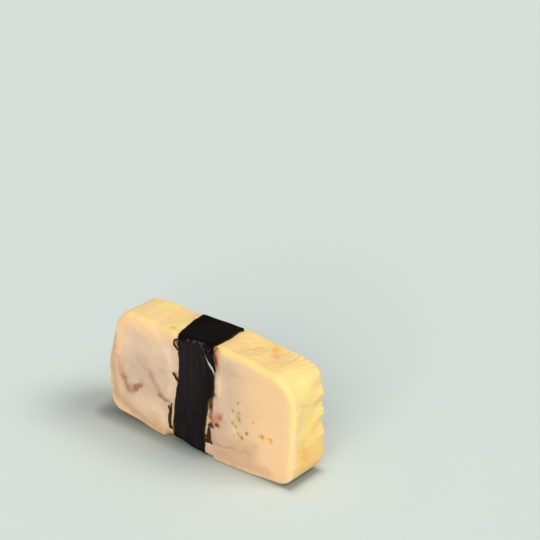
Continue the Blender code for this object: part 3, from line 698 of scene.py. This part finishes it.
def strip_surface(x, place, offset):
    """Points of the strip at these x and places, this far outside the squeezed section.

    Corner n of the section is an arc whose normal turns from -90n to -90n - 90 degrees, and the straight side
    before it joins the end of the last corner's arc to the start of its own."""
    half, low, high = section_box(x)
    front_low, back_low, front_high, back_high = section_radii(x)
    corners = (
        (half - back_low, low + back_low, back_low),
        (-half + front_low, low + front_low, front_low),
        (-half + front_high, high - front_high, front_high),
        (half - back_high, high - back_high, back_high),
    )
    side = np.floor(place).astype(int)
    t = place - side
    y, z, ny, nz = (np.zeros_like(x) for _ in range(4))
    for number, (centre_y, centre_z, radius) in enumerate(corners):
        last_y, last_z, last_radius = corners[number - 1]
        straight, bend = side % 8 == 2 * number, side == 2 * number + 1
        turn = np.radians(-90 * (number + np.where(bend, t, 0)))
        share = np.where(straight, t, 1)
        from_y, from_z = last_y + last_radius * np.cos(turn), last_z + last_radius * np.sin(turn)
        to_y, to_z = centre_y + radius * np.cos(turn), centre_z + radius * np.sin(turn)
        here = straight | bend
        y = np.where(here, from_y + (to_y - from_y) * share, y)
        z = np.where(here, from_z + (to_z - from_z) * share, z)
        ny, nz = np.where(here, np.cos(turn), ny), np.where(here, np.sin(turn), nz)
    return np.stack([x, y + ny * offset, z + nz * offset], axis=-1)


def strip_columns(place):
    """x of every column at every row, and the rows that each sliver covers."""
    guide = strip_surface(np.full(len(place), -2.0), place, 0)
    y, z = guide[:, 1], guide[:, 2]
    length = np.r_[0, np.cumsum(np.linalg.norm(np.diff(guide, axis=0), axis=1))]
    left = strip_edge(LEFT_EDGE, y, z) + TEAR * torn(length, seed=51)
    right = strip_edge(RIGHT_EDGE, y, z) + TEAR * torn(length, seed=52)
    right = right + TORN_CORNER * np.exp(-(((place - TORN_CORNER_PLACE) / TORN_CORNER_WIDTH) ** 2))
    columns = [left + (right - left) * t for t in np.linspace(0, 1, STRIP_COLUMNS + 1)]
    on_front = (place >= 4) & (place < 5)
    slivers = []
    for sliver, edge, sign, seed in ((LEFT_SLIVER, left, -1, 53), (RIGHT_SLIVER, right, 1, 55)):
        low, high = sliver["z"]
        inside = on_front & (z > low) & (z < high)
        up = np.clip((z - low) / (high - low), 0, 1)
        opening = sliver["start"] + (sliver["slit"] - sliver["start"]) * np.sin(math.pi / 2 * up)
        slit = opening + TEAR / 2 * torn(length, seed) * up
        width = SLIVER_TIP + SLIVER_WIDTH * np.sin(math.pi * np.clip(0.08 + up, 0, 1)) ** 0.7
        width = width + TEAR / 2 * torn(length, seed + 1)
        inner = edge + sign * slit
        slivers.append((inside, inner, inner + sign * width))
    x = np.stack([slivers[0][2], slivers[0][1], *columns, slivers[1][1], slivers[1][2]], axis=1)
    return x, [sliver[0] for sliver in slivers]


def strip_cells(place, slivers):
    """Which cells of the grid are nori: the strip, its slivers and where they join it."""
    cells = np.zeros((len(place) - 1, STRIP_COLUMNS + 4), bool)
    cells[:, 2 : 2 + STRIP_COLUMNS] = True
    for inside, sliver, bridge in zip(slivers, (0, -1), (1, -2)):
        cells[:, sliver] = inside[:-1] & inside[1:]
        first = np.argmax(inside)
        cells[first : first + SLIVER_BRIDGE, bridge] = True
    return cells


def shell(cells, outer, inner):
    """A closed sheet over these cells: both surfaces, and a wall wherever a cell has no neighbour."""
    rows, columns = outer.shape[:2]
    under = rows * columns
    number = np.arange(under).reshape(rows, columns)
    a, b = number[:-1, :-1], number[:-1, 1:]
    d, e = number[1:, 1:], number[1:, :-1]
    padded = np.pad(cells, 1)
    faces = [np.stack([a, b, d, e], axis=-1)[cells], np.stack([e, d, b, a], axis=-1)[cells] + under]
    neighbours = (padded[:-2, 1:-1], padded[1:-1, 2:], padded[2:, 1:-1], padded[1:-1, :-2])
    for first, second, neighbour in zip((a, b, d, e), (b, d, e, a), neighbours):
        open_side = cells & ~neighbour
        faces.append(np.stack([second, first, first + under, second + under], axis=-1)[open_side])
    quads = np.concatenate(faces)
    used, quads = np.unique(quads, return_inverse=True)
    points = np.vstack([outer.reshape(-1, 3), inner.reshape(-1, 3)])[used]
    return points, quads.reshape(-1, 4), used


def smooth_path(places, count):
    """This many points along a Catmull-Rom curve through the places."""
    padded = np.vstack([2 * places[0] - places[1], places, 2 * places[-1] - places[-2]])
    along = np.linspace(0, len(places) - 1, count)
    start = np.minimum(along.astype(int), len(places) - 2)
    t = (along - start)[:, None]
    before, first, second, after = (padded[start + i] for i in range(4))
    return 0.5 * (
        2 * first + (second - before) * t + (2 * before - 5 * first + 4 * second - after) * t**2
        + (3 * first - before - 3 * second + after) * t**3
    )


def over_front(path):
    """A path of x, z and distance out of the strip's front, as points before the slice settles."""
    x, z, out = path.T
    return np.column_stack([x, SIDE_DENT - THICKNESS / 2 - NORI_OUTSIDE - out, z])


def shred_shape(places, seed, flatness=0.45, sides=8):
    """A flattened thread: an ellipse carried along a curve, with a seeded unevenness."""
    path = smooth_path(np.array(places), 12 * len(places))
    centre, half_width = over_front(path[:, :3]), path[:, 3]
    count = len(centre)
    tangent = np.gradient(centre, axis=0)
    tangent /= np.linalg.norm(tangent, axis=1)[:, None]
    across = np.cross(tangent, (0, -1, 0))
    across /= np.linalg.norm(across, axis=1)[:, None]
    out = np.cross(across, tangent)
    half_width = half_width * (1 + 0.35 * torn(np.linspace(0, 14, count), seed))
    ring = np.arange(sides)
    turns = ring * 2 * math.pi / sides
    wide = half_width[:, None, None] * np.cos(turns)[None, :, None] * across[:, None]
    deep = half_width[:, None, None] * flatness * np.sin(turns)[None, :, None] * out[:, None]
    points = np.vstack([(centre[:, None] + wide + deep).reshape(-1, 3), centre[:1], centre[-1:]])
    following = (ring + 1) % sides
    first, last = (np.arange(count - 1) * sides)[:, None], (count - 1) * sides
    corners = (first + ring, first + sides + ring, first + sides + following, first + following)
    faces = np.stack(corners, axis=-1).reshape(-1, 4).tolist()
    faces += [(a, b, count * sides) for a, b in zip(ring, following)]
    faces += [(last + b, last + a, count * sides + 1) for a, b in zip(ring, following)]
    # the half widths; the glint's finish paints its highlight paler where they are larger
    broad = np.r_[np.repeat(half_width, sides), half_width[[0, -1]]]
    return settled(*points.T), faces, {"torn": np.ones(len(points)), "broad": broad}


def flap_shape():
    """A loose flap over the strip's upper right corner: a thin sheet between two curves."""
    rows, columns = 40, 18
    left, right = (smooth_path(np.array(side, float), rows) for side in FLAP)
    share = np.linspace(0, 1, columns)[None, :, None]
    sheet = left[:, None] + (right - left)[:, None] * share
    x, z, out = np.moveaxis(sheet, -1, 0)
    out = out + 0.10 * waves(x, 0, z, wavelength=2.2, seed=64)
    out = out + 0.05 * waves(x, 0, z, wavelength=0.9, seed=65, count=11)
    outer = over_front(np.stack([x, z, out], axis=-1).reshape(-1, 3)).reshape(rows, columns, 3)
    inner = outer + np.array([0, FLAP_THICK, 0])
    points, quads, _ = shell(np.ones((rows - 1, columns - 1), bool), outer[::-1], inner[::-1])
    x, _, z = points.T
    # the crushed corner's grey, partly the fibres' own grey and partly painted highlight on the crinkles
    return settled(*points.T), quads, {"torn": np.zeros(len(points)), "crush_and_highlight": near_line(x, z, *FLAP_CRUSH)}


def nori_shape():
    """The nori strip: a torn, crinkled sheet wrapped round the section and lapped on the back.

    Its painted numbers say where it is torn, where its front has a painted sheen, where a painted highlight
    runs along the top fold, where it is crushed (a grey that is partly painted highlight) or olive."""
    place = strip_places()
    x, slivers = strip_columns(place)
    places = np.repeat(place[:, None], x.shape[1], axis=1)
    flat = strip_surface(x, places, NORI_OUTSIDE)
    fx, fy, fz = np.moveaxis(flat, -1, 0)
    ripple = 0.07 * waves(fx, fy, fz, wavelength=6, seed=61)
    ripple = ripple + 0.025 * waves(2.2 * fx, fy, fz, wavelength=1.8, seed=62, count=11)
    crushed = near_line(fx, fz, *STRIP_CRUSH) * (fy < 0)
    creases = 0.22 * crushed * (0.5 - np.abs(waves(fx, fy, fz, wavelength=2.4, seed=63)))
    stretch = np.linspace(0, 1, x.shape[1] - 4)
    from_edge = np.pad(np.minimum(stretch, 1 - stretch), 2) * EDGE_STRETCH
    right_side = np.arange(x.shape[1]) > x.shape[1] / 2
    lift = EDGE_LIFT * (1 - smoothstep(from_edge, 0, 1.8)) * right_side * between(places, 4.0, 4.2, 4.95, 5.0)
    offset = NORI_OUTSIDE + LAP_STEP * smoothstep(places, *LAP_PLACES) + ripple + creases + lift
    outer = strip_surface(x, places, offset)
    inner = strip_surface(x, places, offset - (NORI_OUTSIDE - NORI_INSIDE))
    points, quads, used = shell(strip_cells(place, slivers), outer, inner)
    on_front = between(places, 3.6, 4.1, 5.0, 5.5)
    # a painted highlight along the fold between the front and the top
    crease_highlight = 0.6 * np.exp(-(((places - 5.38) / 0.11) ** 2))
    paint = {
        "torn": 1 - smoothstep(from_edge, 0, 0.9) + 0 * places,
        # painted sheen: the front is lighter than the top, and less so to the right and low down
        "front": on_front * (1 - 0.65 * smoothstep(fx, -1, 6)) * (1 - 0.35 * smoothstep(fz, 26, 8)),
        "crease_highlight": crease_highlight * between(fx, -7.5, -4, 2, 4.5),
        # the crushed corner's grey, partly painted highlight
        "crush_and_highlight": on_front * crushed,
        "olive": on_front * near_line(fx, fz, *OLIVE_EDGE),
    }
    paint = {name: np.tile(values.ravel(), 2)[used] for name, values in paint.items()}
    return settled(*points.T), quads, paint


class Value:
    """A shader socket for Python sums: each operator adds a Math node."""

    def __init__(self, finish, socket):
        self.finish, self.socket = finish, socket

    def math(self, operation, other):
        return self.finish.node("ShaderNodeMath", {"operation": operation}, {0: self, 1: other})

    def __add__(self, other):
        return self.math("ADD", other)

    def __sub__(self, other):
        return self.math("SUBTRACT", other)

    def __mul__(self, other):
        return self.math("MULTIPLY", other)

    __radd__ = __add__
    __rmul__ = __mul__


class Finish:
    """A material's nodes, made with the shader values that are the same all over."""

    def __init__(self, name, **shader_values):
        self.material = bpy.data.materials.new(name)
        self.material.use_nodes = True
        self.tree = self.material.node_tree
        self.shader = self.tree.nodes["Principled BSDF"]
        self.place = self.node("ShaderNodeTexCoord", output="Object")
        self.feed(**shader_values)

    def feed(self, **shader_values):
        """Gives the shader's sockets of these names their values or links."""
        for socket, value in shader_values.items():
            self.join(value, self.shader.inputs[socket.replace("_", " ")])

    def join(self, value, socket):
        """Links a socket to another's value, or sets it to a number or colour."""
        if isinstance(value, Value):
            self.tree.links.new(value.socket, socket)
        else:
            socket.default_value = value

    def node(self, kind, settings=None, sockets=None, output=0):
        """A node of this kind: its settings come first, then the values or links of its sockets."""
        node = self.tree.nodes.new(kind)
        for name, value in (settings or {}).items():
            setattr(node, name, value)
        for name, value in (sockets or {}).items():
            self.join(value, node.inputs[name])
        return Value(self, node.outputs[output])

    def painted(self, name):
        """The number that the shape paints at each of its points."""
        return self.node("ShaderNodeAttribute", {"attribute_name": name}, output="Fac")

    def noise(self, size, detail=2.0, stretch=(1, 1, 1), roughness=0.5):
        """Noise about 0 to 1, of this size in millimetres, stretched along the axes."""
        scale = tuple(1 / (size * MM * s) for s in stretch)
        place = self.node("ShaderNodeMapping", None, {"Vector": self.place, "Scale": scale})
        sockets = {"Vector": place, "Scale": 1.0, "Detail": detail, "Roughness": roughness}
        return self.node("ShaderNodeTexNoise", None, sockets)

    def smooth(self, value, low, high):
        """0 below low, 1 above high, smooth between; low may be above high, to fall instead."""
        sockets = {"Value": value, "From Min": low, "From Max": high}
        return self.node("ShaderNodeMapRange", {"interpolation_type": "SMOOTHSTEP"}, sockets)

    def layers(self, colour, *layers):
        """Layers over a first colour: each is its share and its colour, a value or screen values."""
        for share, over in layers:
            pair = (c if isinstance(c, Value) else (*tone(*c), 1) for c in (colour, over))
            sockets = dict(zip((0, 6, 7), (share, *pair)))
            colour = self.node("ShaderNodeMix", {"data_type": "RGBA"}, sockets, output=2)
        return colour

    def bump(self, height, depth):
        """Shallow relief of this depth in millimetres, under the shader's Normal."""
        sockets = {"Height": height, "Distance": depth * MM, "Strength": 1.0}
        self.feed(Normal=self.node("ShaderNodeBump", None, sockets))


def tone(red, green, blue):
    """Screen values, 0 to 255, as the linear values that a shader takes."""
    screen = np.array((red, green, blue)) / 255
    linear = np.where(screen <= 0.04045, screen / 12.92, ((screen + 0.055) / 1.055) ** 2.4)
    return tuple(float(v) for v in linear)


def egg_finish():
    """Cooked egg: pale, cloudy cut faces with a warm rim, and a yellow, flecked, slightly moist skin."""
    finish = Finish(
        "cooked egg", Subsurface_Weight=0.25, Subsurface_Scale=0.0022, Subsurface_Radius=(1.0, 0.55, 0.25),
        Specular_IOR_Level=0.30, Coat_Roughness=0.25,
    )
    broad = finish.noise(9)
    patchy = finish.noise(3.0, detail=4, roughness=0.6)
    grain = finish.noise(0.7, detail=5, roughness=0.65)
    flecks = finish.noise(1.8, detail=3, roughness=0.6)
    peach_and_lit_side = finish.painted("peach_and_lit_side") + 0.3 * (broad - 0.5) + 0.2 * (patchy - 0.5)
    clouds, patches = finish.smooth(broad, 0.35, 0.65), 0.5 * finish.smooth(patchy, 0.5, 0.75)
    face = finish.layers(
        (207, 176, 152),
        (clouds, (216, 186, 158)),
        (patches, (224, 196, 164)),
        # peachy tone: the rim's colour, and on the right partly painted light
        (finish.smooth(peach_and_lit_side, 0.0, 1.0), (243, 201, 153)),
    )
    skin = finish.layers(
        (248, 208, 146),
        (clouds, (250, 216, 146)),
        (patches, (251, 220, 134)),
        (0.45 * finish.smooth(flecks, 0.52, 0.66), (253, 226, 124)),
        (0.35 * finish.smooth(flecks, 0.46, 0.34), (252, 204, 140)),
    )
    ragged = 0.8 + 0.4 * finish.smooth(0.6 * grain + 0.4 * patchy, 0.35, 0.65)
    marks = ((finish.smooth(finish.painted(tint) * ragged, 0, 1), screen) for tint, screen in TINTS.items())
    colour = finish.layers(
        skin,
        (finish.smooth(finish.painted("rim") + 0.8 * (patchy - 0.5), -1.8, 1.8), face),
        # pale band along the rim, partly painted highlight
        (0.6 * finish.painted("pale rim and highlight"), (252, 220, 138)),
        # the pockets tinted olive-brown, darker the deeper they are
        (0.65 * finish.smooth(finish.painted("pocket"), 0.03, 0.7), (156, 120, 60)),
        *marks,
    )
    moist = 0.12 * finish.smooth(patchy, 0.4, 0.7)
    finish.feed(Base_Color=colour, Roughness=0.42 + 0.2 * grain, Coat_Weight=moist)
    finish.bump(0.7 * grain + 0.3 * patchy, 0.10)
    return finish.material


def nori_finish():
    """Dried seaweed: near black, with a painted sheen and faint streaks on the front, and brown torn edges,
    a painted highlight along the top fold and a crushed corner whose grey is partly painted highlight.
    """
    finish = Finish("dried nori", Specular_IOR_Level=0.04)
    front, mottle = finish.painted("front"), finish.noise(1.6, detail=4, roughness=0.6)
    streaks = finish.noise(1.1, detail=3, stretch=(1, 9, 9), roughness=0.6)
    fibres = finish.noise(0.30, detail=4, stretch=(1, 6, 6), roughness=0.6)
    scraps = finish.noise(0.55, detail=4, stretch=(0.8, 1, 2.5), roughness=0.65)
    edge = finish.painted("torn") + 0.6 * (mottle - 0.5)
    colour = finish.layers(
        (13, 8, 4),
        # painted sheen on the front, with its faint streaks and fibres
        (front, (31, 24, 27)),
        (front * finish.smooth(streaks, 0.45, 0.72), (42, 34, 38)),
        (front * finish.smooth(fibres, 0.5, 0.8), (44, 37, 40)),
        # grey scraps of the crushed corner: partly the fibres' own grey, partly painted highlight on the
        # crinkles
        (finish.painted("crush_and_highlight") * finish.smooth(scraps, 0.50, 0.70), (92, 86, 82)),
        # painted highlight along the top fold
        (finish.painted("crease_highlight") * finish.smooth(mottle, 0.42, 0.60), (98, 93, 88)),
        (0.85 * finish.smooth(edge, 0.35, 0.95), (62, 43, 18)),
        (finish.smooth(finish.painted("olive"), 0.25, 0.9), (96, 86, 38)),
    )
    finish.feed(Base_Color=colour, Roughness=0.45 + 0.3 * mottle)
    finish.bump(0.6 * fibres + 0.4 * mottle, 0.06)
    return finish.material


def glint_finish():
    """The lip of a tear, coloured as a painted glint: pale grey where the ribbon is broad, dark where it is
    thin.
    """
    finish = Finish("torn lip painted glint", Roughness=0.4)
    fibres = finish.noise(0.5, detail=3, roughness=0.6)
    # painted glint: the broader the lip, the paler it is
    share = finish.smooth(finish.painted("broad") + 0.1 * (fibres - 0.5), 0.06, 0.32)
    finish.feed(Base_Color=finish.layers((54, 48, 45), (share, (188, 180, 170))))
    return finish.material


def scene_object(name, data):
    """An object with this data, put in the scene."""
    made = bpy.data.objects.new(name, data)
    bpy.context.scene.collection.objects.link(made)
    return made


def mesh_object(name, shape, material):
    """A smooth object made from a shape: (points in millimetres, quads, painted numbers)."""
    points, quads, paint = shape
    mesh = bpy.data.meshes.new(name)
    mesh.from_pydata((np.column_stack(points) * MM).tolist(), [], [list(map(int, face)) for face in quads])
    for attribute, values in paint.items():
        layer = mesh.attributes.new(attribute, "FLOAT", "POINT")
        layer.data.foreach_set("value", np.asarray(values, np.float32))
    mesh.shade_smooth()
    mesh.set_sharp_from_angle(angle=math.radians(60))
    mesh.materials.append(material)
    return scene_object(name, mesh)


def add_piece(name, shape, shift, material, node=None):
    """A piece, moved on to the frame's slice; it takes the place of the model's node, if named."""
    (x, y, z), quads, paint = shape
    piece = mesh_object(name, ((x + shift[0], y + shift[1], z), quads, paint), material)
    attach(piece, "root")
    if node:
        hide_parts(node)


def frame_shift(points):
    """How far these points are from the frame's slice, middle to middle, in x and y."""
    low, high = (np.array(corner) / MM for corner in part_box("egg_slice"))
    return [(low[i] + high[i]) / 2 - (points[i].min() + points[i].max()) / 2 for i in (0, 1)]


def add_camera(shift):
    """The photo's camera, along its azimuth and elevation, with the slice low and left in view."""
    azimuth, elevation = math.radians(AZIMUTH), math.radians(ELEVATION)
    back = np.array([
        math.sin(azimuth) * math.cos(elevation), -math.cos(azimuth) * math.cos(elevation), math.sin(elevation)
    ])
    right = np.array([math.cos(azimuth), math.sin(azimuth), 0])
    up = np.cross(back, right)
    place = np.array([*shift, AIM_HEIGHT]) + AIM[0] * right + AIM[1] * up + DISTANCE * back
    camera = scene_object("camera", bpy.data.cameras.new("camera"))
    camera.data.lens = LENS
    camera.data.sensor_width = SENSOR
    camera.data.clip_start = 0.01
    turn = Matrix([right, up, back]).transposed().to_4x4()
    camera.matrix_world = Matrix.Translation(place * MM) @ turn
    bpy.context.scene.camera = camera


def add_sun(name, toward, spread, strength, colour):
    """A soft sun in this direction from the slice, as wide as this many degrees."""
    light = bpy.data.lights.new(name, "SUN")
    light.angle, light.energy, light.color = math.radians(spread), strength, colour
    place = Matrix.Translation(toward)
    turn = place.translation.to_track_quat("Z", "Y").to_matrix().to_4x4()
    scene_object(name, light).matrix_world = place @ turn


def floor_shape():
    """A floor of square cells that are small near the slice, and how shaded it is there.

    The shade is a sum: a line of contact that fades exponentially from the slice's foot and, to the left, a
    near shade that ends with a smoothstep and a wide one that fades as exp(-(distance / width)^2)."""
    half_x, half_y = (RIGHT_END - LEFT_END) / 2, THICKNESS / 2
    places = np.concatenate([[-3000, -400], np.linspace(-90, 90, 121), [400, 3000]])
    x, y = (grid.ravel() for grid in np.meshgrid(places, places, indexing="ij"))
    quads = cell_quads(np.arange(len(places) ** 2).reshape(len(places), -1))
    away = np.hypot(np.maximum(np.abs(x) - half_x + 1, 0), np.maximum(np.abs(y) - half_y + 1, 0))
    wide = np.hypot(np.maximum(np.abs(x + 6) - half_x, 0), np.maximum(np.abs(y + 4) - half_y, 0))
    left = smoothstep(x, 26, -20)
    contact = (CONTACT_SHADE - CONTACT_LESS_LEFT * left) * np.exp(-away / CONTACT_FADE)
    near = NEAR_SHADE * (1 - smoothstep(away, *NEAR_FADE))
    shade = contact + left * (near + WIDE_SHADE * np.exp(-((wide / WIDE_FADE) ** 2)))
    return (x, y, 0 * x), quads, {"shade": shade}


def add_studio():
    """A pale floor, a soft sun from the upper right behind, and a wider one from the front right."""
    finish = Finish("pale floor", Roughness=0.9, Specular_IOR_Level=0.0)
    finish.feed(Base_Color=finish.layers((216, 226, 221), (finish.painted("shade"), (60, 61, 58))))
    mesh_object("floor", floor_shape(), finish.material)
    add_sun("key light", toward=(0.55, 0.25, 0.75), spread=28, strength=1.25, colour=(1.0, 0.98, 0.94))
    add_sun("front light", toward=(0.35, -0.82, 0.41), spread=45, strength=1.8, colour=(1.0, 0.97, 0.93))
    world = bpy.data.worlds.new("studio")
    world.use_nodes = True
    background = world.node_tree.nodes["Background"].inputs
    background["Color"].default_value = (0.96, 0.98, 1.0, 1)
    background["Strength"].default_value = 0.45
    bpy.context.scene.world = world
    bpy.context.scene.view_settings.view_transform = "Standard"


def main():
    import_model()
    omelette = slice_shape()
    shift = frame_shift(omelette[0])
    add_piece("omelette_slice", omelette, shift, egg_finish(), "egg_slice")
    nori = nori_finish()
    add_piece("nori_strip", nori_shape(), shift, nori, "nori_band")
    add_piece("nori_flap", flap_shape(), shift, nori)
    for seed, (name, places) in enumerate(SHREDS.items()):
        add_piece("nori_" + name, shred_shape(places, seed), shift, nori)
    add_piece("nori_glint", shred_shape(GLINT, seed=9), shift, glint_finish())
    add_camera(shift)
    add_studio()


main()
